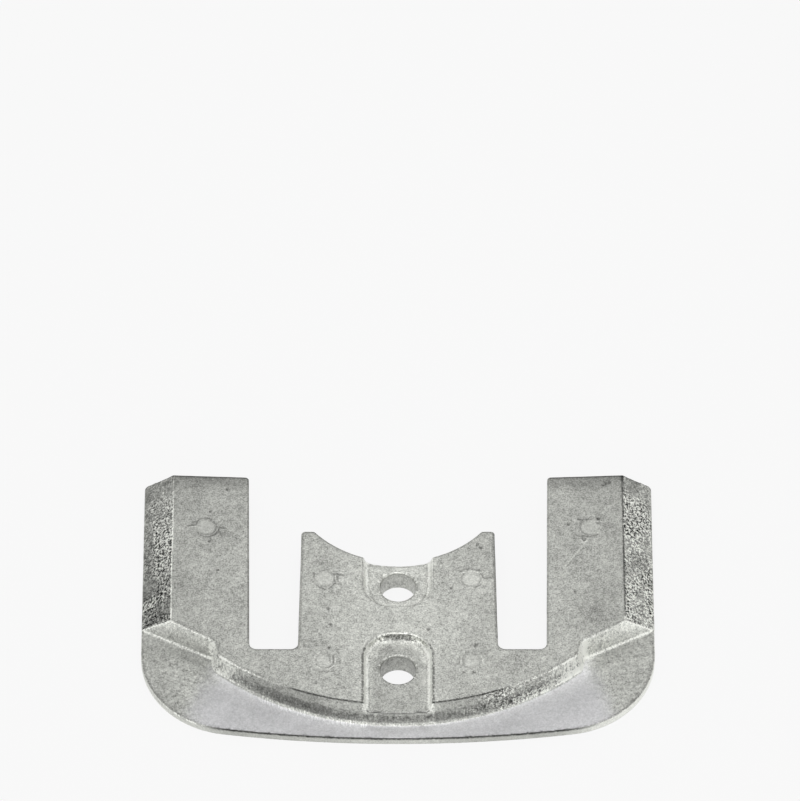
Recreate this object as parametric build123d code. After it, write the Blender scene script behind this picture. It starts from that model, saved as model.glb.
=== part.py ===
from build123d import *
from math import sqrt
import os

# A sacrificial anode for the underside of a boat's drive leg: one casting in aluminium alloy.
# A thin lip runs round the rounded nose, a thick body rises from it behind a curved wall, and
# two wings reach back on either side of a tongue that carries the two bolt holes.
#
# Millimetres, +Z up. The flat mounting face lies on Z = 0, the nose points to -Y and the part
# is symmetrical about X = 0. It is drawn with the nose on Y = 0, and moved at the end so that
# the origin lies under the middle of its outline.

# The outline of the whole casting
overall_length = 127.7
nose_half_width = 102.9
side_taper = 1.7
wing_end_slant = 1.6
nose_radius = 500.0
shoulder_radius = 38.0
corner_rounding = 1.5

# The two slots, and the tongue between them with the hollow in its end
slot_end_y = 38.6
slot_half_width_at_end = 59.2
slot_half_width_at_mouth = 59.6
slot_corner_radius = 3.0
tongue_length = 59.8
tongue_root_half_width = 39.9
tongue_tip_half_width = 38.5
hollow_radius = 44.0
hollow_depth = 15.4

# Thicknesses
plate_thickness = 12.5
lip_thickness = 3.4

# The curved wall between the lip and the thick body. Its crest bulges towards the nose, its foot
# stands further forward, and between them a brow rounds the wall over and fades out at its ends
crest_nose_y = 10.5
crest_radius = 115.5
crest_half_width = 71.4
brow_run = 2.3
brow_drop = 3.1
foot_run = 3.9
foot_radius = 110.0
foot_spread = 1.6

# The notch behind each end of the curved wall, as offsets from that end, at crest and foot
notch_crest_offset = (1.4, 7.1)
notch_foot_offset = (1.0, 5.6)

# The shoulder wall from the notch to the side, and the bevel along the outer side of each wing
shoulder_y = 52.8
shoulder_foot_setback = 2.0
bevel_run = 11.6
bevel_foot_height = 3.9

# The two bolt holes, each with a recess round it for the bolt's head
hole_radius = 7.15
hole_spacing = 42.1
near_hole_y = 30.3
pocket_half_width = 13.8
pocket_corner_radius = 11.5
pocket_depth = 3.1
pocket_draft = 20.0
pocket_floor_radius = 2.2
near_pocket_reach = 16.1
far_pocket_reach = 12.4

# The round marks that the mould's ejector pins leave on the face
pin_mark_radius = 4.15
pin_mark_depth = 0.25
wing_mark_x, wing_mark_y = 76.3, 100.4
tongue_mark_x, tongue_mark_y = 29.1, 74.1
root_mark_x, root_mark_y = 29.1, 32.5

# The rounding and the small chamfers of the cast edges
edge_radius = 0.5
edge_chamfer = 0.4
step_corner_radius = 1.8
notch_corner_radius = 2.0
foot_fillet = 1.5

# How far a cutter or an unfinished face runs out beyond the casting, the distance within which
# an edge counts as lying on a place, and the largest share of a wall that its rounding may take
past = 10.0
touching = 0.01
largest_share = 0.95


def with_mirror(right_half):
    """The corners of the right half, then their mirror images in reverse order."""
    return right_half + [(-x, y) for x, y in reversed(right_half)]


def pair_at(sketch, x, y):
    """The two vertices of a sketch nearest to (x, y) and (-x, y)."""
    return [
        min(sketch.vertices(), key=lambda v: (v.X - side) ** 2 + (v.Y - y) ** 2) for side in (x, -x)
    ]


def side_half_width(y):
    """Half the width between the sides, which close in by the taper along the whole length."""
    return nose_half_width - side_taper * y / overall_length


def outline():
    """Plan of the whole casting, with its slots, hollow and rounded corners."""
    tongue_end_y = slot_end_y + tongue_length
    mouth_y = overall_length - wing_end_slant
    wing_end_half_width = side_half_width(overall_length)
    right_half = [
        (nose_half_width, 0),
        (wing_end_half_width, overall_length),
        (slot_half_width_at_mouth, mouth_y),
        (slot_half_width_at_end, slot_end_y),
        (tongue_root_half_width, slot_end_y),
        (tongue_tip_half_width, tongue_end_y),
    ]
    hollow_y = tongue_end_y - hollow_depth + hollow_radius
    plan = make_face(Polyline(with_mirror(right_half), close=True))
    plan &= Pos(0, nose_radius) * Circle(nose_radius)
    plan -= Pos(0, hollow_y) * Circle(hollow_radius)
    plan = fillet(pair_at(plan, nose_half_width, 0), shoulder_radius)
    plan = fillet(pair_at(plan, slot_half_width_at_end, slot_end_y), slot_corner_radius)
    plan = fillet(pair_at(plan, tongue_root_half_width, slot_end_y), slot_corner_radius)
    horn_x = sqrt(hollow_radius**2 - (hollow_y - tongue_end_y) ** 2)
    for x, y in (
        (tongue_tip_half_width, tongue_end_y),
        (horn_x, tongue_end_y),
        (slot_half_width_at_mouth, mouth_y),
        (wing_end_half_width, overall_length),
    ):
        plan = fillet(pair_at(plan, x, y), corner_rounding)
    return plan


def arc_y(nose_y, radius, x):
    """Distance behind the nose of a point on a curve that bulges towards the nose."""
    return nose_y + radius - sqrt(radius**2 - x**2)


def between(crest, foot, height):
    """The point of a leaning edge at a height, from its points at the crest and on the lip."""
    share = (plate_thickness - height) / (plate_thickness - lip_thickness)
    return tuple(c + (f - c) * share for c, f in zip(crest, foot))


def body_section(height, nose_y):
    """Level section of the thick body, running out beyond the wing ends."""
    foot_half_width = crest_half_width + foot_spread
    crest_end = (crest_half_width, arc_y(crest_nose_y, crest_radius, crest_half_width))
    foot_end = (foot_half_width, arc_y(crest_nose_y - foot_run, foot_radius, foot_half_width))
    notch_crest = (crest_end[0] + notch_crest_offset[0], crest_end[1] + notch_crest_offset[1])
    notch_foot = (foot_end[0] + notch_foot_offset[0], foot_end[1] + notch_foot_offset[1])
    bevel_here = bevel_run * (height - bevel_foot_height) / (plate_thickness - bevel_foot_height)
    shoulder_foot_y = shoulder_y + shoulder_foot_setback
    shoulder_here = between((0, shoulder_y), (0, shoulder_foot_y), height)[1]
    back_y = overall_length + past

    step = between(crest_end, foot_end, height)
    notch = between(notch_crest, notch_foot, height)
    shoulder = (side_half_width(shoulder_here) - bevel_here, shoulder_here)
    back = (side_half_width(back_y) - bevel_here, back_y)
    corners = with_mirror([step, notch, shoulder, back])
    curved_wall = ThreePointArc(corners[-1], (0, nose_y), corners[0])
    section = make_face(Curve() + [curved_wall, Polyline(corners)])
    section = fillet(pair_at(section, *step), step_corner_radius)
    section = fillet(pair_at(section, *notch), notch_corner_radius)
    return Pos(0, 0, height) * section


def thick_body():
    """The body above the lip, with leaning walls, bevelled sides and the brow at the crest."""
    brow_height = plate_thickness - brow_drop
    brow_nose_y = crest_nose_y - brow_run
    foot_nose_y = crest_nose_y - foot_run
    wall_lean = (brow_nose_y - foot_nose_y) / (brow_height - lip_thickness)
    sections = [
        body_section(0, foot_nose_y - wall_lean * lip_thickness),
        body_section(brow_height, brow_nose_y),
        body_section(plate_thickness, crest_nose_y),
    ]
    return loft(sections, ruled=True)


def head_pocket(closed_y, open_y):
    """Cutter for one bolt head's recess: rounded at its closed end, run out at the other."""
    length = abs(open_y - closed_y)
    plan = Pos(0, (closed_y + open_y) / 2) * Rectangle(2 * pocket_half_width, length)
    corner_radius = min(pocket_corner_radius, largest_share * pocket_half_width)
    plan = fillet(pair_at(plan, pocket_half_width, closed_y), corner_radius)
    cutter = extrude(Pos(0, 0, plate_thickness) * plan, -pocket_depth, taper=pocket_draft)
    floor_edges = cutter.faces().sort_by(Axis.Z)[0].edges()
    return fillet(floor_edges, pocket_floor_radius)


def pin_marks():
    """Shallow round dents, three on each side of the part."""
    spots = [(wing_mark_x, wing_mark_y), (tongue_mark_x, tongue_mark_y), (root_mark_x, root_mark_y)]
    dent = extrude(Circle(pin_mark_radius), pin_mark_depth)
    floor_z = plate_thickness - pin_mark_depth
    return [Pos(x, y, floor_z) * dent for x, y in with_mirror(spots)]


def edges_at(part, height, keep=lambda middle: True):
    """The edges of a part that lie level at a height and whose middles pass a test."""
    level = part.edges().filter_by_position(Axis.Z, height - touching, height + touching)
    return [edge for edge in level if keep(edge @ 0.5)]


def rough_stock():
    """The thick body in its foot fillet, on a lip that is still too wide all round."""
    slab_half_width = nose_half_width + 3 * past
    slab_back_y = overall_length + 3 * past
    slab_corners = [(slab_half_width, -past), (slab_half_width, slab_back_y)]
    slab = make_face(Polyline(with_mirror(slab_corners), close=True))
    stock = extrude(slab, lip_thickness) + thick_body()

    def is_foot(middle):
        return abs(middle.X) < slab_half_width - past and 0 < middle.Y < slab_back_y - past

    stock = fillet(edges_at(stock, lip_thickness, is_foot), foot_fillet)
    return fillet(edges_at(stock, plate_thickness), edge_radius)


def anode_block():
    """The whole casting, drawn with its nose on Y = 0."""
    plan = outline()
    far_hole_y = near_hole_y + hole_spacing
    blank = extrude(plan, plate_thickness)
    blank = chamfer(edges_at(blank, plate_thickness), edge_chamfer)
    casting = rough_stock() & blank
    casting -= head_pocket(near_hole_y + near_pocket_reach, -past)
    casting -= head_pocket(far_hole_y - far_pocket_reach, overall_length)
    lip_border = Pos(0, 0, lip_thickness) * plan.wires()[0]

    def on_border(middle):
        return lip_border.distance_to(middle) < touching

    casting = fillet(edges_at(casting, lip_thickness, on_border), edge_radius)
    for hole_y in (near_hole_y, far_hole_y):
        centre = Vector(0, hole_y, plate_thickness - pocket_depth)
        casting -= Pos(0, hole_y) * extrude(Circle(hole_radius), plate_thickness)

        def on_rim(middle):
            return abs((middle - centre).length - hole_radius) < touching

        casting = chamfer(edges_at(casting, centre.Z, on_rim), edge_chamfer)
    return casting - pin_marks()


os.makedirs("parts", exist_ok=True)
block = Pos(0, -overall_length / 2, 0) * anode_block()
block.label = "anode_block"
export_step(block, "parts/anode_block.step")
print("anode_block", block.bounding_box(), len(block.solids()), len(block.faces()), block.is_valid)
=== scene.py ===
import math

import bpy
import numpy as np
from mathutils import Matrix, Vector, noise


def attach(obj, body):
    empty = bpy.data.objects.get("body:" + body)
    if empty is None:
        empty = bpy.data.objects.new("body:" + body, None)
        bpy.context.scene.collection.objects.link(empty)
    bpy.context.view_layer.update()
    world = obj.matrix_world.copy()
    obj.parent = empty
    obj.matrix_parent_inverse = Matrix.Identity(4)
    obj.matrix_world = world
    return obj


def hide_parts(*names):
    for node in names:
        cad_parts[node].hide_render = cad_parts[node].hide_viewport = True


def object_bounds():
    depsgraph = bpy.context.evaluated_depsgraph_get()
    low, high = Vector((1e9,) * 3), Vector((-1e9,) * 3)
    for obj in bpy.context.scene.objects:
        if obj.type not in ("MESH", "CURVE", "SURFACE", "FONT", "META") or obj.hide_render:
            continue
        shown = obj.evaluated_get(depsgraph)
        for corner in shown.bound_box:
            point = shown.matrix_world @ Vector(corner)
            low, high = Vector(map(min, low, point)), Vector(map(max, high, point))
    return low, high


# A sacrificial anode for the underside of a boat's drive leg, cast in one piece in aluminium
# alloy. Metres, +Z up, the rounded nose towards -Y, the flat mounting face on Z = 0.
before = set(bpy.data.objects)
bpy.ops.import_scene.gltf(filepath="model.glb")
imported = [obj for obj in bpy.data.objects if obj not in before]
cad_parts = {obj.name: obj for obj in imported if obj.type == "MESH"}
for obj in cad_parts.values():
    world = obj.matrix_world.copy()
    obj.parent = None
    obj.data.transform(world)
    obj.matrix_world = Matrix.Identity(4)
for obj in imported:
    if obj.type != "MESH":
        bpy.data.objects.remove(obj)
cad_box = [list(corner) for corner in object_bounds()]
millimetre = 0.001


# The casting. It is one gravity casting in aluminium alloy, with a skin that froze against the
# mould, so no edge of it is quite sharp and no face quite flat. Its shape is the CAD node's,
# cut up finely enough for the skin's own relief.
def pick_only(piece):
    """Leave one object selected and active."""
    bpy.ops.object.select_all(action="DESELECT")
    piece.select_set(True)
    bpy.context.view_layer.objects.active = piece


def merged_copy(node, name):
    """A copy of a CAD node whose loose triangles are joined into one skin."""
    copy = bpy.data.objects.new(name, node.data.copy())
    bpy.context.scene.collection.objects.link(copy)
    pick_only(copy)
    bpy.ops.object.mode_set(mode="EDIT")
    bpy.ops.mesh.select_all(action="SELECT")
    bpy.ops.mesh.remove_doubles(threshold=0.001 * millimetre)
    bpy.ops.object.mode_set(mode="OBJECT")
    return copy


def apply_modifier(piece, kind, **settings):
    """Add a modifier to a piece with its settings, and apply it."""
    pick_only(piece)
    modifier = piece.modifiers.new(kind.title(), kind)
    for name, value in settings.items():
        setattr(modifier, name, value)
    bpy.ops.object.modifier_apply(modifier=modifier.name)


skin_cell = 0.63 * millimetre
true_shape = merged_copy(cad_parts["anode_block"], "true_shape")
casting = merged_copy(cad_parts["anode_block"], "casting")
apply_modifier(casting, "REMESH", mode="VOXEL", voxel_size=skin_cell, use_smooth_shade=True)
apply_modifier(casting, "SHRINKWRAP", target=true_shape, wrap_method="NEAREST_SURFACEPOINT")
bpy.data.objects.remove(true_shape)

# The underside lies hidden and dead flat, so its cells are joined into larger ones. The row of
# cells beside its rim stays, so that nothing that marks the rim reaches far under the casting
straight_down = -0.9999
flat = [vertex.normal.z < straight_down for vertex in casting.data.vertices]
beside_rim = set()
for edge in casting.data.edges:
    if not all(flat[end] for end in edge.vertices):
        beside_rim.update(edge.vertices)
inner = [index for index, is_flat in enumerate(flat) if is_flat and index not in beside_rim]
casting.vertex_groups.new(name="underside").add(inner, 1.0, "REPLACE")
apply_modifier(casting, "DECIMATE", ratio=0.48, vertex_group="underside")


# The marks on the face. The mould's ejector pins pushed the casting out by six round places,
# where they left shallow discs with a torn ring round each and a little flash beside it. There
# are also some pits, and one scratch. Places are in millimetres, a mark's strokes from its middle.
lip_top = 3.4
face_top = cad_box[1][2] / millimetre
pin_radius = 4.15
pin_depth = 0.25
pin_marks = {
    (-76.3, 36.55): {
        "grooves": [
            [(-4.3, 2.6), (-3.0, 4.0), (-0.9, 4.7), (1.8, 4.0)],
            [(-4.1, -2.0), (-2.3, -4.2), (0.0, -4.8), (2.7, -4.0), (4.1, -2.3), (5.0, 0.0)],
            [(-7.7, 0.9), (-6.0, 1.3), (-4.5, 1.2), (-3.8, 2.8)],
            [(-5.8, 2.6), (-4.4, 3.2)],
            [(5.0, 0.0), (7.2, -0.6)],
            [(4.1, -2.3), (5.4, -3.4)],
        ],
        "ridges": [
            [(-7.4, 0.3), (-4.6, 0.5)],
            [(1.8, 3.7), (5.2, 3.6)],
            [(4.9, -0.9), (7.0, -1.2)],
        ],
        "pits": [(1.2, 8.0), (0.8, -7.0)],
    },
    (76.3, 36.55): {
        "grooves": [
            [(-4.2, 3.9), (-0.5, 3.9), (1.3, 4.0)],
            [(3.2, 4.2), (4.2, 4.5)],
            [(-2.6, -4.4), (0.4, -4.7), (3.4, -3.6)],
            [(2.6, 2.6), (4.4, 1.6)],
        ],
        "ridges": [
            [(-3.9, 3.2), (-4.0, 0.0), (-3.1, -2.8), (-1.2, -4.0)],
            [(4.6, 3.0), (5.6, 2.4), (7.6, 3.0)],
            [(-0.5, -6.9), (-4.6, -12.4), (-9.6, -20.0)],
            [(-3.2, -6.2), (-2.0, -7.8), (-0.6, -5.8)],
        ],
        "pits": [(-2.4, -5.8), (-1.6, -5.8), (-2.0, -6.6), (3.8, 4.4), (-8.2, 1.4)],
    },
    (-29.1, 10.25): {
        "grooves": [
            [(-2.0, 4.0), (1.4, 4.6)],
            [(-4.6, 3.2), (-4.4, 0.2)],
            [(-3.3, -3.2), (-1.8, -4.6), (-0.1, -5.3)],
            [(1.5, -5.1), (4.1, -2.0)],
            [(4.6, 1.9), (5.0, -0.4), (6.0, -3.0)],
            [(3.5, 2.3), (7.3, 1.9)],
        ],
        "ridges": [
            [(4.2, 4.6), (5.8, 4.8), (7.4, 4.2)],
            [(4.6, 3.2), (7.0, 3.0)],
            [(5.5, -0.4), (5.6, -1.4)],
        ],
        "pits": [],
    },
    (29.1, 10.25): {
        "grooves": [
            [(-4.1, 3.9), (-2.2, 4.9), (0.6, 4.9), (3.6, 4.1)],
            [(4.0, 2.5), (4.6, 1.2), (5.3, 0.4), (8.5, 0.6)],
            [(1.6, -4.4), (3.8, -3.0)],
        ],
        "ridges": [[(-4.2, 3.1), (-3.4, 2.8)], [(-2.6, 3.2), (0.4, 3.9), (2.8, 3.0)]],
        "pits": [],
    },
    (-29.1, -31.35): {
        "grooves": [
            [(4.4, 5.9), (5.7, 3.4)],
            [(-8.4, 7.2), (-6.6, 6.9)],
            [(-2.4, -5.6), (1.2, -5.8), (4.0, -5.2)],
            [(1.6, 2.2), (2.2, -0.6)],
            [(3.0, 2.0), (3.2, -0.8)],
            [(5.9, 0.9), (6.0, -1.4)],
        ],
        "ridges": [
            [(-4.4, 0.6), (-3.6, -2.6), (-1.4, -4.4), (1.2, -4.5), (3.6, -2.8)],
            [(-3.8, 2.6), (-2.6, 3.8)],
            [(2.4, 3.0), (2.7, -0.6)],
            [(3.8, 1.8), (3.9, -0.8)],
        ],
        "pits": [(1.5, 6.5)],
    },
    (29.1, -31.35): {
        "grooves": [
            [(-2.2, 4.1), (-0.9, 4.3)],
            [(0.4, 4.3), (1.7, 4.4)],
            [(4.0, 3.8), (6.0, 4.7), (8.0, 5.1)],
            [(4.6, 3.0), (6.4, 3.6)],
            [(-4.5, 1.6), (-4.5, -1.6)],
        ],
        "ridges": [
            [(-3.7, 1.8), (-3.7, -1.6)],
            [(3.8, 3.0), (4.1, 2.0)],
            [(4.4, 1.6), (5.0, -1.6)],
        ],
        "pits": [(1.6, 7.3), (2.2, 8.0), (-2.8, -5.9), (1.2, -5.9)],
    },
}
lone_pits = [
    (12.2, -15.5),
    (-27.9, -4.9),
    (-3.7, -22.5),
    (21.2, 5.4),
    (-32.7, -42.8),
    (-27.0, -12.9),
    (-72.1, 14.8),
    (-68.4, 55.9),
    (70.7, 3.8),
    (31.8, 27.8),
    (33.1, 26.2),
    (83.2, 59.0),
    (82.0, 58.2),
    (84.6, 59.6),
    (10.6, 3.8),
]
bevel_edges = {side: [(90.6 * side, -9.0), (89.6 * side, 63.0)] for side in (-1, 1)}


def moved_strokes(what):
    """The strokes or pits of every pin mark, moved from its middle to where it lies."""
    moved = []
    for (middle_x, middle_y), mark in pin_marks.items():
        for stroke in mark[what]:
            points = [stroke] if what == "pits" else stroke
            moved.append([(middle_x + dx, middle_y + dy) for dx, dy in points])
    return moved


def line_gap(spots, points):
    """How far spots in plan lie from a chain of straight strokes, or from a single point."""
    gap = np.full(len(spots), np.inf)
    chain = list(zip(points, points[1:])) or [(points[0], points[0])]
    for start, end in chain:
        start, run = np.array(start), np.array(end) - np.array(start)
        share = np.clip((spots - start) @ run / max(run @ run, 1e-9), 0.0, 1.0)
        gap = np.minimum(gap, np.linalg.norm(spots - start - share[:, None] * run, axis=1))
    return gap


grooves = moved_strokes("grooves")
ridges = moved_strokes("ridges")
pits = moved_strokes("pits") + [[spot] for spot in lone_pits]

# Dark hairlines run along the crest of the curved wall, the lip's upper edge and the rims of
# the near recess. The crest and the nose are arcs in plan, and the lip's corners smaller ones
crest_circle_y, crest_radius = 62.15, 115.5
nose_circle_y, nose_radius = 436.15, 500.0
corner_x, corner_y, corner_radius = 64.9, -21.27, 38.0
pocket_half_width = 13.8


def crest_gap(spots):
    """How far in front of the crest spots in plan lie."""
    return np.hypot(spots[:, 0], spots[:, 1] - crest_circle_y) - crest_radius


def edge_inset(spots):
    """How far inside the lip's outer edge spots in plan lie."""
    wide, back = np.abs(spots[:, 0]), nose_circle_y - spots[:, 1]
    at_corner = wide * (nose_circle_y - corner_y) > corner_x * back
    from_corner = corner_radius - np.hypot(wide - corner_x, spots[:, 1] - corner_y)
    return np.where(at_corner, from_corner, nose_radius - np.hypot(wide, back))


def read_vectors(items, what):
    """Places or directions of a mesh's points or faces, one row each."""
    values = np.empty(len(items) * 3)
    items.foreach_get(what, values)
    return values.reshape(-1, 3)


# The skin is cut up twice as finely where such a mark or hairline lies
mark_reach = 1.0
hairline_reach = 0.65
middles = read_vectors(casting.data.polygons, "center") / millimetre
mid_x, mid_y, mid_z = np.abs(middles[:, 0]), middles[:, 1], middles[:, 2]
marked = np.zeros(len(middles), dtype=bool)
for points in grooves + ridges + pits + list(bevel_edges.values()):
    marked |= line_gap(middles[:, :2], points) < mark_reach
for pin_middle in pin_marks:
    marked |= line_gap(middles[:, :2], [pin_middle]) < pin_radius + mark_reach
marked &= mid_z > face_top - 2.0 * pin_depth
at_crest = (np.abs(crest_gap(middles)) < hairline_reach) & (mid_x < 48.0)
marked |= at_crest & (mid_z > face_top - 1.0)
at_lip_edge = (edge_inset(middles) < hairline_reach) & (mid_y < -20.0) & (mid_x < 86.0)
marked |= at_lip_edge & (mid_z > lip_top - 0.7) & (mid_z < lip_top + 0.1)
at_pocket_rim = (np.abs(mid_x - pocket_half_width) < hairline_reach) & (mid_z > face_top - 0.7)
marked |= at_pocket_rim & (mid_y < -17.0) & (mid_y > -54.0)
pick_only(casting)
bpy.ops.object.mode_set(mode="EDIT")
bpy.ops.mesh.select_mode(type="FACE")
bpy.ops.mesh.select_all(action="DESELECT")
bpy.ops.object.mode_set(mode="OBJECT")
casting.data.polygons.foreach_set("select", marked)
bpy.ops.object.mode_set(mode="EDIT")
bpy.ops.mesh.subdivide(number_cuts=1)
bpy.ops.object.mode_set(mode="OBJECT")

# The underside is shaded flat, and all the rest smooth
turned = read_vectors(casting.data.polygons, "normal")
casting.data.polygons.foreach_set("use_smooth", turned[:, 2] > straight_down)


# The zones of the skin, told apart by where they lie and which way they face. Each zone is a
# share from 0 to 1 on every point, which the relief and the finish below both read. Lengths are
# in millimetres, and the parts of the direction that a point faces run from -1 to 1.
def ramp(values, start, end):
    """0 before start, 1 past end, and an even curve between them."""
    share = np.clip((values - start) / (end - start), 0.0, 1.0)
    return share * share * (3.0 - 2.0 * share)


def fall(values, start, end):
    """1 before start, 0 past end, and an even curve between them."""
    return 1.0 - ramp(values, start, end)


def cloudy(size):
    """A cloudy pattern between about -1 and 1, with blotches of a size in millimetres."""
    weakening, refining, layers = 1.0, 2.0, 2
    spots = place / size
    return np.array([noise.fractal(spot, weakening, refining, layers) for spot in spots])


place = read_vectors(casting.data.vertices, "co") / millimetre
facing = read_vectors(casting.data.vertex_normals, "vector")
x, y, z = place.T
plan = place[:, :2]
wide = np.abs(x)
left = x < 0
in_front = y < -20.0
faces_side, faces_front, faces_up = np.abs(facing[:, 0]), -facing[:, 1], facing[:, 2]

# The remeshed rim ends in an uneven row of points just above the floor, which is set down on it
lowest_row = 0.45
place[z < lowest_row, 2] = 0.0

# How sharply the skin bends at a point, per millimetre: how far its neighbours rise above the
# level of its own face, over their distance squared. It is less than 0 on an edge that juts out
ends = np.empty(len(casting.data.edges) * 2, dtype=np.int32)
casting.data.edges.foreach_get("vertices", ends)
first_ends, second_ends = ends.reshape(-1, 2).T
step = place[second_ends] - place[first_ends]
bend = np.zeros(len(place))
neighbours = np.zeros(len(place))
for here, towards in ((first_ends, step), (second_ends, -step)):
    rise = np.einsum("ij,ij->i", towards, facing[here])
    np.add.at(bend, here, rise / np.linalg.norm(step, axis=1) ** 2)
    np.add.at(neighbours, here, 1.0)
bend /= neighbours
sharp_edge = ramp(-bend, 0.12, 0.4)
hollow = ramp(bend, 0.04, 0.16)

# Two clouds make the zones' borders uneven, one about as fine as the grit and one far wider
jitter = 0.7 * cloudy(1.0)
drift = cloudy(9.0)
above_floor = ramp(z, 0.3, 1.0)
underneath = ramp(-faces_up, 0.8, 0.95)
on_face = ramp(z, face_top - 2.0 * pin_depth, face_top - 1.4 * pin_depth)

# The bolt holes, and the recesses round them for the bolts' heads. A recess has a rounded edge to
# its floor, round corners at its closed end, and a margin that is painted lighter, a painted
# highlight
hole_radius = 7.15
hole_middles = ((0.0, -33.55), (0.0, 8.55))
in_hole = np.zeros(len(place))
for hole_middle in hole_middles:
    hole_gap = line_gap(plan, [hole_middle]) - hole_radius
    in_hole = np.maximum(in_hole, fall(hole_gap, 0.15, 0.65))
near_pocket_end, far_pocket_end = -17.4, -4.0
pocket_floor = face_top - 3.1
pocket_corner = 11.5
in_pocket = fall(wide, pocket_half_width + 0.2, pocket_half_width + 0.8)
in_pocket *= (y < near_pocket_end + 1.0) | (y > far_pocket_end - 1.0)
in_pocket *= ramp(z, pocket_floor - 1.2, pocket_floor - 0.6)
in_pocket *= fall(z, face_top - 0.5, face_top - 0.1) * (1.0 - in_hole)
pocket_bend = in_pocket * fall(faces_up, 0.93, 0.985)
pocket_side = pocket_bend * ramp(faces_side, 0.15, 0.5)
near_floor = in_pocket * ramp(-y, 20.0, 21.0) * ramp(faces_up, 0.95, 0.99)
far_end = pocket_bend * ramp(faces_front, 0.3, 0.6)
far_end *= ramp(-y, 17.0, 18.0) * (y > near_pocket_end - 6.0)
pocket_rim = sharp_edge * on_face * in_front * (np.abs(wide - pocket_half_width) < 1.0)
across = wide - pocket_half_width + pocket_corner
along = np.where(y < 0.0, y - near_pocket_end, far_pocket_end - y) + pocket_corner
at_corner = (across > 0.0) & (along > 0.0)
round_gap = np.where(at_corner, np.hypot(across, along), np.maximum(across, along))
pocket_margin = in_pocket * fall(pocket_corner - round_gap, 2.5, 6.0) * (1.0 - pocket_bend)

# The curved wall, which stands on a round foot. Its lower half is a rough band, and its tips
# are streaked. A notch lies behind each tip, and the shoulder wall runs from there to the side
foot_circle_y, foot_circle_radius = 52.75, 110.0
wall_end = 72.5
shoulder_foot = [(73.0, -29.5), (74.0, -23.9), (102.2, -9.05)]
foot_gap = np.hypot(x, y - foot_circle_y) - foot_circle_radius
front_facing = ramp(faces_front, 0.15, 0.5)
walled = front_facing * ramp(z, lip_top + 0.2, lip_top + 1.0) * ramp(-y, 18.0, 21.0)
walled *= fall(wide, wall_end, wall_end + 1.0) * ramp(foot_gap, -8.5, -7.0)
low_band = walled * fall(z + jitter, 6.5, 10.0)
low_band *= 0.15 + 0.85 * ramp(z, lip_top + 1.0, lip_top + 4.0)
wall_tip = walled * ramp(wide + 1.5 * jitter, 52.0, 66.0)
notch = ramp(wide, wall_end - 2.5, wall_end - 0.5) * fall(wide, wall_end + 2.0, wall_end + 3.5)
notch *= ramp(faces_side, 0.3, 0.6) * ramp(-y, 16.0, 18.0)
notch *= ramp(z, lip_top, lip_top + 0.6) * fall(z, face_top - 0.8, face_top - 0.2)
shoulder = front_facing * ramp(wide, wall_end + 1.0, wall_end + 2.5)
shoulder *= ramp(z, lip_top, lip_top + 0.6) * ramp(-y, 5.0, 7.0)

# The lip, with a calmer skin in its middle, its rim, and the hollow where it meets the walls
up_to_lip = fall(z, lip_top + 0.05, lip_top + 0.6)
on_lip = up_to_lip * ramp(faces_up, 0.8, 0.95)
middle_edge = wide + 3.0 * jitter + 3.0 * drift + 0.39 * (y + 29.5) - np.where(left, 0.0, 4.0)
lip_middle = on_lip * fall(middle_edge, 67.0, 80.0)
rim = up_to_lip * fall(faces_up, 0.3, 0.7) * (1.0 - underneath)
rim *= ramp(-y, 5.0, 10.0) * ramp(foot_gap, 2.0, 4.0)
foot_line = hollow * ramp(z, lip_top + 0.05, lip_top + 0.5) * fall(z, lip_top + 1.2, lip_top + 2.0)
foot_line *= ramp(-y, 0.0, 6.0) * (1.0 - in_hole)
shoulder_gap = line_gap(np.column_stack((wide, y)), shoulder_foot)
lip_gap = np.where(wide < shoulder_foot[0][0], np.maximum(foot_gap, 0.0), shoulder_gap)
hollow_foot = on_lip * np.exp(-((lip_gap / 5.0) ** 2)) * (1.0 - in_hole)

# The bevel along the outer side of each wing
bevel_run, bevel_rise = 11.6, 8.6
bevel_length = math.hypot(bevel_run, bevel_rise)
faces_as_bevel = (faces_side * bevel_rise + faces_up * bevel_run) / bevel_length
bevelled = ramp(faces_as_bevel, 0.90, 0.98) * fall(faces_up, 0.90, 0.97)
bevelled *= ramp(wide, 85.0, 88.0) * ramp(z, lip_top - 0.4, lip_top + 1.2)
bevel_foot = sharp_edge * (wide > 89.5) * ramp(-y, 4.0, 6.0) * ramp(z, lip_top + 0.6, lip_top + 1.2)
wing_tip = ramp(y, 50.0, 58.0)

# The hairlines, and two more edges whose brightness is painted: one darker, a painted shade, and
# one lighter, a painted highlight
crest = fall(np.abs(crest_gap(place) + 0.1 * jitter), 0.05, 0.42) * ramp(-y, 16.0, 19.0)
crest *= ramp(z, face_top - 0.9, face_top - 0.5)
lip_edge = fall(np.abs(edge_inset(place) - 0.2 + 0.15 * jitter), 0.05, 0.4)
lip_edge *= (z > lip_top - 0.7) * (z < lip_top + 0.1) * in_front
back_edge = sharp_edge * ramp(y, 61.5, 62.5)
pocket_mouth = sharp_edge * (wide < pocket_half_width - 1.5) * ramp(-y, 45.0, 47.0)
pocket_mouth *= ramp(z, pocket_floor - 1.0, pocket_floor - 0.4)
far_rim = sharp_edge * ramp(-faces_front, 0.05, 0.3) * (wide < 14.5) * (y > -5.0) * (y < 8.0)
right_edge = sharp_edge * ramp(facing[:, 0], 0.15, 0.4) * (wide < 88.0) * (y > -20.0)
right_edge *= ramp(z, face_top - 1.2, face_top - 0.8)

# White mould wash, which was sprayed into the mould, has stayed in the hollows of the skin
chalk = np.maximum.reduce(
    [
        0.3 * shoulder,
        0.9 * notch,
        0.7 * wall_tip * ramp(wide, 63.0, 68.0),
        0.9 * hollow_foot,
        0.7 * foot_line,
        0.7 * pocket_bend * (1.0 - far_end),
    ]
)

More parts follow.
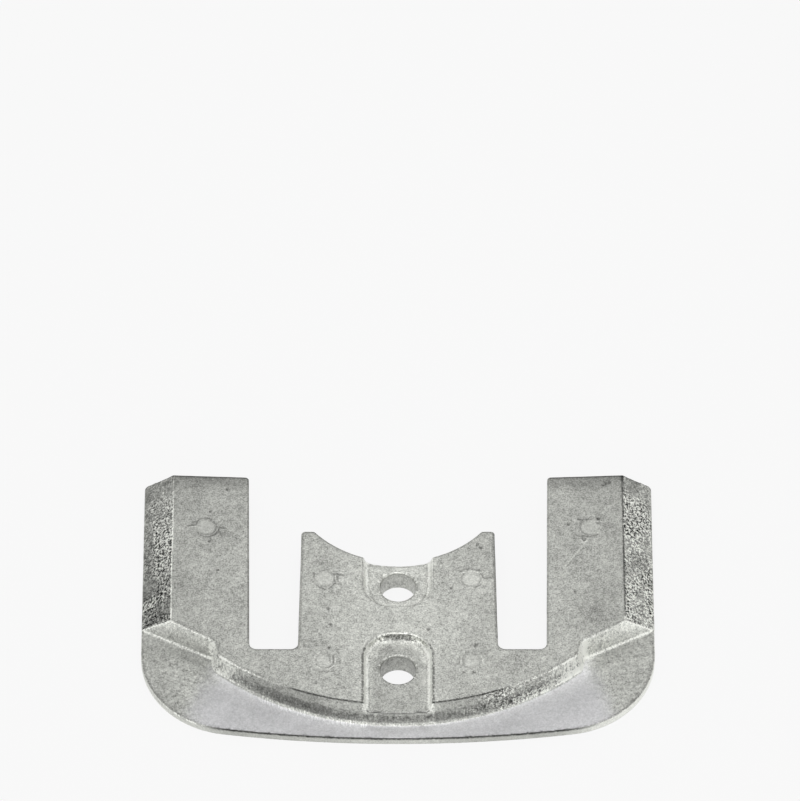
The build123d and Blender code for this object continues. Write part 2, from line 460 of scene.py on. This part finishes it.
# The mould was rough at the bevels and the notches, low on the curved wall and over most of its
# right half, and at the near recess's far end
left_grit = 1.0 - 0.6 * ramp(wide + 2.0 * drift, 97.0, 100.0) * ramp(y, 5.0, 25.0)
right_grit = 1.0 - 0.55 * np.exp(-(((y - 25.0) / 7.0) ** 2))
bevel_grit = bevelled * np.clip(0.95 + 0.9 * drift, 0.25, 1.5) * (1.0 - 0.5 * wing_tip)
bevel_grit *= np.where(left, left_grit, right_grit)
band_grit = low_band * np.where(x > 25.0, 0.7, 0.22)
wall_grit = 0.85 * walled * ramp(x + 4.0 * drift, 28.0, 42.0) * (1.0 - 0.6 * wall_tip)
wall_grit *= 1.0 - 0.55 * ramp(z, 6.5, 9.0) * ramp(x, 38.0, 48.0)
grit = np.maximum.reduce([bevel_grit, band_grit, wall_grit, 0.6 * far_end, 0.5 * notch])

# How bright each place is painted, beside the middle of the face, which is 1. It was matched to one
# view in one light, so where left and right differ, some of it may be that light's, and much of it
# is painted light and shade, as marked below.
# First the face, which is painted dimmer towards its sides and back and a little brighter at its
# right end, a painted falloff of the light, with two dim spots and a bright one
tone_and_painted_light = 1.0 - 0.14 * ramp(wide, 6.0, 34.0) - 0.05 * ramp(wide, 40.0, 85.0)
tone_and_painted_light -= 0.09 * ramp(y, 0.0, 60.0)
tone_and_painted_light *= 1.0 + 0.04 * ramp(x, 40.0, 60.0)
tone_and_painted_light *= 1.0 - (0.26 * ramp(y, 54.0, 60.0) + 0.16 * ramp(y, 59.5, 62.5)) * on_face
tone_and_painted_light *= 1.0 + 0.05 * drift * above_floor
for spot_middle, spot_radius, change in (
    ((80.0, -4.0), 9.0, -0.13),
    ((95.0, 21.0), 6.0, -0.35),
    ((72.0, -24.0), 6.0, 0.1),
):
    tone_and_painted_light *= 1.0 + change * np.exp(-((line_gap(plan, [spot_middle]) / spot_radius) ** 2))

# Sharp edges are painted bright, a painted highlight, but for those where a hairline runs
hairlines = np.maximum.reduce([back_edge, pocket_mouth, pocket_rim, crest, lip_edge])
tone_and_painted_light *= 1.0 + 0.45 * sharp_edge * (1.0 - hairlines)

# The curved wall, its tips, the notches and the shoulder walls. The wall's lower band and parts of
# the wall above it are painted darker, a painted shade, and its low right end lighter; the tips,
# the notches and the shoulder walls are painted lighter, a painted highlight, by different amounts
# on left and right
band_shade = 0.36 - 0.33 * ramp(x, 10.0, 36.0) - 0.22 * ramp(-x, 40.0, 50.0)
tone_and_painted_light *= 1.0 - band_shade * low_band
tone_and_painted_light *= 1.0 + 0.2 * walled * ramp(x, 38.0, 46.0) * fall(z, 5.5, 8.0)
wall_shade = 0.06 * fall(x, 5.0, 20.0) + 0.16 * ramp(x, 12.0, 18.0) * fall(x, 38.0, 48.0)
wall_shade += 0.2 * ramp(-x, 22.0, 36.0) * (1.0 - 0.6 * ramp(-x, 42.0, 52.0))
tone_and_painted_light *= 1.0 - wall_shade * walled * (1.0 - wall_tip)
tip_gain = np.where(left, 0.45, 0.6 + 0.4 * fall(z, 5.0, 8.0))
tip_gain += 0.6 * ramp(wide, 64.0, 69.0) + 0.7 * jitter
notch_gain = np.where(left, 1.2, 2.0) + 0.7 * jitter
tone_and_painted_light *= 1.0 + notch_gain * notch * (1.0 - wall_tip) + tip_gain * wall_tip
tone_and_painted_light *= 1.0 + (np.where(left, 0.35, 0.62) + 0.3 * ramp(z, 6.0, 10.0)) * shoulder

# The lip. It is painted a little lighter, more away from the wall's foot, and also close to the
# foot, where the walls would darken what it mirrors: painted light. The foot's bright line is a
# painted highlight, and so is the brighter rim, most at its ends
tone_and_painted_light *= 1.0 + 0.06 * on_lip * (1.0 - in_hole) + 0.08 * lip_middle * ramp(wide, 15.0, 35.0)
tone_and_painted_light *= 1.0 + 0.15 * on_lip * ramp(foot_gap, 8.0, 20.0) * fall(wide, 80.0, 90.0)
foot_end = ramp(wide, np.where(left, 71.0, 74.0), np.where(left, 76.0, 82.0))
tone_and_painted_light *= 1.0 + (0.75 - 0.45 * fall(wide, 10.0, 18.0) - 0.75 * foot_end) * hollow_foot
tone_and_painted_light *= 1.0 + foot_line * np.where(wide > wall_end, 0.7, 0.4 + 0.4 * jitter)
tone_and_painted_light *= 1.0 + (0.3 + 0.45 * ramp(-x, 60.0, 90.0) + 0.9 * ramp(x, 60.0, 90.0)) * rim

# The recesses, the near bolt hole, and a nick in the far one's rim. The recesses' margins, side
# walls and rounded edges are painted lighter, a painted highlight; the near recess's floor in
# front, its far end and the near hole's wall are painted darker, a painted shade; and the nick is a
# painted highlight
margin_gain = np.where(y < -10.0, 0.18 + 0.3 * ramp(y, -33.0, -26.0), 0.04)
tone_and_painted_light *= 1.0 + margin_gain * pocket_margin
tone_and_painted_light *= 1.0 + 0.95 * pocket_side
tone_and_painted_light *= 1.0 + 0.35 * pocket_bend * (1.0 - pocket_side)
tone_and_painted_light *= 1.0 - 0.22 * near_floor
tone_and_painted_light *= 1.0 - 0.55 * far_end * fall(wide + 2.0 * jitter, 4.5, 7.5)
tone_and_painted_light *= 1.0 - 0.2 * in_hole * in_front
rim_nick = (-4.9, 14.2)
on_pocket_floor = ramp(z, pocket_floor - 0.8, pocket_floor - 0.2)
tone_and_painted_light *= 1.0 + 1.2 * fall(line_gap(plan, [rim_nick]), 0.3, 1.1) * on_pocket_floor

# The bevels, of which the left one grows brighter towards the back. Much of this is painted light:
# the left bevel is painted darker than the right at the front, both are dimmer at the wing tips,
# and the sharp edge at a bevel's foot gets a painted highlight
bevel_gain = np.where(left, 0.0118 * (y - 24.0) - 0.08, 0.25)
bevel_gain += 0.25 * cloudy(2.5) + np.where(left, 0.18, 0.3) * cloudy(6.0) - 0.3 * wing_tip
bevel_gain -= 0.18 * left * ramp(wide, 95.0, 99.0) * ramp(y, 0.0, 20.0)
tone_and_painted_light *= 1.0 + bevel_gain * bevelled
tone_and_painted_light *= 1.0 + bevel_foot

# The hairlines are painted nearly black. The crest's turns to a painted highlight at both ends, the
# lip's at its left one
crest_end = ramp(wide + 2.0 * jitter, 44.0, 50.0) * np.clip(jitter + 0.5, 0.0, 1.0)
tone_and_painted_light *= 1.0 - 0.93 * crest * fall(wide + 2.0 * jitter, 40.0, 46.0)
tone_and_painted_light *= 1.0 + 1.2 * crest * crest_end
tone_and_painted_light *= 1.0 - 0.93 * lip_edge * fall(wide, 66.0, 84.0)
tone_and_painted_light *= 1.0 + 0.7 * lip_edge * ramp(-x, 70.0, 84.0) * (jitter > 0.0)
tone_and_painted_light *= 1.0 - 0.92 * pocket_mouth
tone_and_painted_light *= 1.0 - 0.85 * pocket_rim * (jitter > -0.12)
tone_and_painted_light *= 1.0 - 0.8 * back_edge
# Edges turned to the right are painted darker, a painted shade, and the rim at the near end of the
# far recess lighter, a painted highlight
tone_and_painted_light *= 1.0 - 0.45 * right_edge
tone_and_painted_light *= 1.0 + 0.5 * far_rim


# The relief of the skin. The pin marks are shallow dents, and their torn rings stand up or lie
# deeper. The metal also shrank in slow waves, froze in a fine orange peel all over, and took up
# coarse grit where the mould was rough. All of it is real shape, up to 0.3 mm high or deep.
on_marks = on_face * ramp(faces_up, 0.5, 0.8)
in_pits = on_pocket_floor * ramp(faces_up, 0.5, 0.8)
smooth_discs = np.zeros(len(place))
for pin_middle in pin_marks:
    reach = line_gap(plan, [pin_middle])
    near = on_face * (reach < pin_radius + 1.5)
    edge_width = 1.7 if pin_middle[1] < -20.0 else 1.1
    inside = near * fall(reach + 0.3 * jitter, pin_radius - edge_width, pin_radius + 0.5)
    smooth_discs = np.maximum(smooth_discs, inside)
    place[:, 2] += near * (face_top - pin_depth * inside - z)
    facing[near > 0.5] = (0.0, 0.0, 1.0)


def drawn(strokes, full_until, gone_at):
    """The share of a set of strokes on every point, by how far the point lies from them."""
    share = np.zeros(len(place))
    for points in strokes:
        share = np.maximum(share, fall(line_gap(plan, points), full_until, gone_at))
    return share


stroke_width = 0.42
faded = 1.0 - 0.3 * in_front
dark_strokes = drawn(grooves, 0.3 * stroke_width, 1.3 * stroke_width) * on_marks * faded
bright_strokes = drawn(ridges, 0.3 * stroke_width, 1.3 * stroke_width) * on_marks * faded
pitted = drawn(pits, 0.15, 0.75) * in_pits
height = 0.05 * bright_strokes - 0.1 * dark_strokes - 0.25 * pitted
# The grooves and pits are painted darker, a painted shade in them, and the ridges lighter, a
# painted highlight
tone_and_painted_light *= (1.0 - 0.46 * dark_strokes * (0.8 + 0.6 * jitter)) * (1.0 - 0.4 * pitted)
tone_and_painted_light *= (1.0 + 0.3 * bright_strokes) * (1.0 + 0.2 * smooth_discs)

# The edge between face and bevel is a low ridge on the left, painted bright as a painted highlight,
# and a dark line on the right, a painted shade
left_ridge = drawn([bevel_edges[-1]], 0.0, 0.45) * on_marks * ramp(y, -9.5, -8.5)
right_line = drawn([bevel_edges[1]], 0.0, 0.65) * on_marks * ramp(y, -9.5, -8.5)
tone_and_painted_light *= (1.0 + 1.1 * left_ridge) * (1.0 - (0.7 - 0.6 * jitter) * right_line)
height += 0.03 * left_ridge
height += 0.05 * cloudy(11.0) * above_floor * (1.0 - 0.6 * lip_middle)
height += 0.012 * cloudy(1.6) * above_floor
height += 0.08 * cloudy(1.2) * grit
moved = (place + facing * height[:, None]) * millimetre
casting.data.vertices.foreach_set("co", moved.ravel())
casting.data.update()

# The zones that the finish reads are kept on the casting's points
tone_and_painted_light += (0.85 - tone_and_painted_light) * underneath
fibre_reach = foot_line + on_lip * fall(lip_gap + jitter, 0.8, 2.6)
zones = {
    "tone_and_painted_light": tone_and_painted_light,
    "grit": grit,
    "chalk": chalk,
    "lip_middle": lip_middle,
    "smooth": np.maximum.reduce([0.4 * smooth_discs, 0.65 * lip_middle, 0.6 * rim]),
    "foot_fibres": np.minimum(fibre_reach, 1.0) * ramp(-x, 10.0, 14.0) * fall(-x, 52.0, 57.0),
    "streaked": np.maximum.reduce([0.8 * low_band, wall_tip, notch]),
}
for name, share in zones.items():
    attribute = casting.data.attributes.new(name, "FLOAT", "POINT")
    attribute.data.foreach_set("value", share.astype(np.float32))


# The finish: cast aluminium alloy as it leaves the mould. It is a bare metal, dull and slightly
# mottled where the skin froze, with painted glints where the grit of the mould has left facets, and
# its brightness carries the painted light and shade of the zones above.
def linear(hex_colour):
    """A shader colour from an sRGB hex value."""
    parts = [int(hex_colour[i : i + 2], 16) / 255 for i in (0, 2, 4)]
    return [p / 12.92 if p <= 0.04045 else ((p + 0.055) / 1.055) ** 2.4 for p in parts] + [1.0]


def add_node(tree, kind, inputs=None, **settings):
    """Add a shader node with its settings, and the values or links of its inputs."""
    new = tree.nodes.new("ShaderNode" + kind)
    for name, value in settings.items():
        setattr(new, name, value)
    for name, value in (inputs or {}).items():
        if isinstance(value, bpy.types.NodeSocket):
            tree.links.new(value, new.inputs[name])
        else:
            new.inputs[name].default_value = value
    return new


def per_metre(size):
    """The scale of a pattern whose features are a size in millimetres apart."""
    return 1.0 / (size * millimetre)


cast_alloy = bpy.data.materials.new("as_cast_aluminium_alloy")
cast_alloy.use_nodes = True
tree = cast_alloy.node_tree
tree.nodes.clear()
where = add_node(tree, "TexCoord").outputs["Object"]


def zone_share(name):
    """The share of a zone, as the material reads it."""
    return add_node(tree, "Attribute", attribute_name=name).outputs["Fac"]


def noise_pattern(size, detail=2.0, roughness=0.5, vector=where):
    """A noise whose blotches are a size in millimetres."""
    values = {"Vector": vector, "Scale": per_metre(size), "Detail": detail, "Roughness": roughness}
    return add_node(tree, "TexNoise", values).outputs["Fac"]


def calculate(operation, first, second):
    """One sum on two numbers or outputs."""
    return add_node(tree, "Math", {0: first, 1: second}, operation=operation).outputs[0]


def blend_colours(share, first, second):
    """From the first colour to the second."""
    inputs = {0: share, 6: first, 7: second}
    return add_node(tree, "Mix", inputs, data_type="RGBA").outputs[2]


def between(value, low, high, at_low=0.0, at_high=1.0):
    """Stretch the range from low to high over another one."""
    inputs = {
        "Value": value,
        "From Min": low,
        "From Max": high,
        "To Min": at_low,
        "To Max": at_high,
    }
    return add_node(tree, "MapRange", inputs).outputs["Result"]


# The mottle is four noises, for the metal's grains, its crystals, blotches and clouds. A real
# grain is a few tenths of a millimetre wide, so it is drawn about twice as coarse, to show
grains = noise_pattern(0.62, roughness=0.6)
crystals = noise_pattern(1.5, roughness=0.6)
blotches = noise_pattern(4.0, detail=3.0, roughness=0.6)
clouds = noise_pattern(14.0)
mottle = calculate("MULTIPLY", calculate("SUBTRACT", grains, 0.5), 1.9)
for pattern, weight in ((crystals, 0.95), (blotches, 0.52), (clouds, 0.4)):
    part = calculate("MULTIPLY", calculate("SUBTRACT", pattern, 0.5), weight)
    mottle = calculate("ADD", mottle, part)
calm = calculate("SUBTRACT", 1.0, zone_share("smooth"))
mottle = calculate("ADD", calculate("MULTIPLY", mottle, calm), 1.0)

# Where the mould was rough, each facet is painted either bright or nearly black, as painted glints
# and painted shade. A real facet is about 0.3 mm wide, so it is drawn three times as coarse, to
# show
facets = noise_pattern(0.95, roughness=0.8)
painted_glints = between(facets, 0.4, 0.64, at_low=0.03, at_high=2.8)
grit_share = zone_share("grit")
grit_and_glints = calculate("MULTIPLY", grit_share, calculate("SUBTRACT", painted_glints, 1.0))
grit_and_glints = calculate("ADD", 1.0, grit_and_glints)

# The metal crept into the mould's foot in fine bright fibres, which here brighten the painted light
# along the left half of the wall's foot, and the mould's wash ran down its walls and left streaks.
# Both run from front to back and down, three times as long as wide
stretched = add_node(tree, "Mapping", {"Vector": where, "Scale": (1.0, 0.3, 0.3)}).outputs[0]
fibres = between(noise_pattern(0.6, vector=stretched), 0.5, 0.62, at_high=0.7)
fibrous = calculate("ADD", 1.0, calculate("MULTIPLY", fibres, zone_share("foot_fibres")))
streaks = noise_pattern(0.9, roughness=0.6, vector=stretched)
streaks = between(streaks, 0.35, 0.65, at_low=-0.45, at_high=0.45)
streaky = calculate("ADD", 1.0, calculate("MULTIPLY", streaks, zone_share("streaked")))

# The alloy is a pale grey, a little warmer on the face than in the middle of the lip. Its
# brightness stops short of white, which no bare metal reaches
brightest = 2.05
brightness = calculate("MULTIPLY", zone_share("tone_and_painted_light"), mottle)
for pattern in (grit_and_glints, fibrous, streaky):
    brightness = calculate("MULTIPLY", brightness, pattern)
brightness = calculate("MINIMUM", brightness, brightest)
hue = blend_colours(zone_share("lip_middle"), linear("b4b5b0"), linear("b5b5b6"))
colour = add_node(tree, "VectorMath", {0: hue, "Scale": brightness}, operation="SCALE").outputs[0]

# The mould wash is chalk, so the skin is less of a metal where it lies. A casting's skin is dull
# beside a machined face, and its orange peel and the facets of the grit break up what it mirrors
dullness = 0.42
peel_depth = 0.03 * millimetre
facet_depth = 0.25 * millimetre
bare = calculate("SUBTRACT", 1.0, zone_share("chalk"))
peel = noise_pattern(1.3, detail=3.0, roughness=0.6)
peeled = add_node(tree, "Bump", {"Strength": 1.0, "Distance": peel_depth, "Height": peel})
faceted = add_node(
    tree,
    "Bump",
    {
        "Strength": 1.0,
        "Distance": facet_depth,
        "Height": calculate("MULTIPLY", facets, grit_share),
        "Normal": peeled.outputs[0],
    },
)
shader = add_node(
    tree,
    "BsdfPrincipled",
    {
        "Base Color": colour,
        "Metallic": bare,
        "Roughness": dullness,
        "Normal": faceted.outputs[0],
    },
)
add_node(tree, "OutputMaterial", {"Surface": shader.outputs[0]})
casting.data.materials.clear()
casting.data.materials.append(cast_alloy)
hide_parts("anode_block")
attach(casting, "root")

# The floor is a plain white sheet that the casting lies on. It lies a hair lower than the
# underside, because two faces in one place would spoil each other's light, and it can be seen
# through from below, so that it doesn't hide the underside.
hair_gap = 0.05 * millimetre
sheet_size = 12.0
bpy.ops.mesh.primitive_plane_add(size=sheet_size, location=(0, 0, -hair_gap))
floor = bpy.context.active_object
floor.name = "floor"
sheet = bpy.data.materials.new("white_paper")
sheet.use_nodes = True
tree = sheet.node_tree
tree.nodes.clear()

# To the camera, and in what the metal mirrors, the sheet mostly glows by itself, so that it
# stays white and the shadows on it are faint
share_of_glow = 0.93
path = add_node(tree, "LightPath")
seen = add_node(
    tree,
    "Math",
    {0: path.outputs["Is Camera Ray"], 1: path.outputs["Is Glossy Ray"]},
    operation="MAXIMUM",
)
paper = add_node(tree, "BsdfDiffuse", {"Color": linear("f8f8f8")})
glow = add_node(tree, "Emission", {"Color": linear("f9f9f9"), "Strength": 1.0})
glowing = add_node(tree, "Math", {0: seen.outputs[0], 1: share_of_glow}, operation="MULTIPLY")
mixed = {0: glowing.outputs[0], 1: paper.outputs[0], 2: glow.outputs[0]}
lit_paper = add_node(tree, "MixShader", mixed)
from_below = add_node(tree, "NewGeometry").outputs["Backfacing"]
clear = add_node(tree, "BsdfTransparent")
mixed = {0: from_below, 1: lit_paper.outputs[0], 2: clear.outputs[0]}
one_sided = add_node(tree, "MixShader", mixed)
add_node(tree, "OutputMaterial", {"Surface": one_sided.outputs[0]})
floor.data.materials.append(sheet)


# The light: a softbox overhead and behind, one straight above, one low in front and one high in
# front, one at each side in front and one at each side behind, and a dim room around them. The
# metal's face, walls and bevels mirror different ones of them, which tells them apart.
def softbox(name, place, size, radiance):
    """A rectangular lamp of a given radiance, turned towards the casting."""
    lamp = bpy.data.lights.new(name, "AREA")
    lamp.shape = "RECTANGLE"
    lamp.size, lamp.size_y = size
    lamp.energy = math.pi * size[0] * size[1] * radiance
    box = bpy.data.objects.new(name, lamp)
    bpy.context.scene.collection.objects.link(box)
    box.location = place
    box.rotation_euler = (-Vector(place)).to_track_quat("-Z", "Y").to_euler()
    box.visible_camera = False


softbox("overhead_softbox", (0, 0.36, 0.45), (0.3, 0.36), 1.5)
softbox("top_softbox", (0, 0.02, 0.8), (0.5, 0.22), 1.2)
softbox("front_softbox", (0, -1.3, 0.35), (2.0, 0.6), 1.0)
softbox("front_top_softbox", (0, -0.45, 0.9), (0.9, 0.5), 2.5)
softbox("front_left_softbox", (-1.1, -0.8, 0.4), (0.9, 0.6), 1.3)
softbox("front_right_softbox", (1.1, -0.8, 0.4), (0.9, 0.6), 1.3)
softbox("left_softbox", (-0.85, 0.7, 0.45), (0.6, 0.7), 0.8)
softbox("right_softbox", (0.85, 0.7, 0.45), (0.6, 0.7), 0.9)

room = bpy.data.worlds.new("studio")
bpy.context.scene.world = room
room.use_nodes = True
tree = room.node_tree
tree.nodes.clear()
air = add_node(tree, "Background", {"Color": linear("ffffff"), "Strength": 0.35})
add_node(tree, "OutputWorld", {"Surface": air.outputs[0]})

# The camera looks down at the casting from the front, from so far away that its sides stay
# almost parallel. It aims behind the casting, which so lies low in the picture.
camera_height_angle = math.radians(51.52)
camera_distance = 12.423
aim = Vector((0.81, 111.6, 0.0)) * millimetre
lens = bpy.data.cameras.new("camera")
lens.lens = 1400.0
lens.sensor_width = 36.0
camera = bpy.data.objects.new("camera", lens)
bpy.context.scene.collection.objects.link(camera)
camera.location = (
    0.0,
    -camera_distance * math.cos(camera_height_angle),
    camera_distance * math.sin(camera_height_angle),
)
camera.rotation_euler = (aim - camera.location).to_track_quat("-Z", "Y").to_euler()
bpy.context.scene.camera = camera
bpy.context.scene.view_settings.view_transform = "Standard"
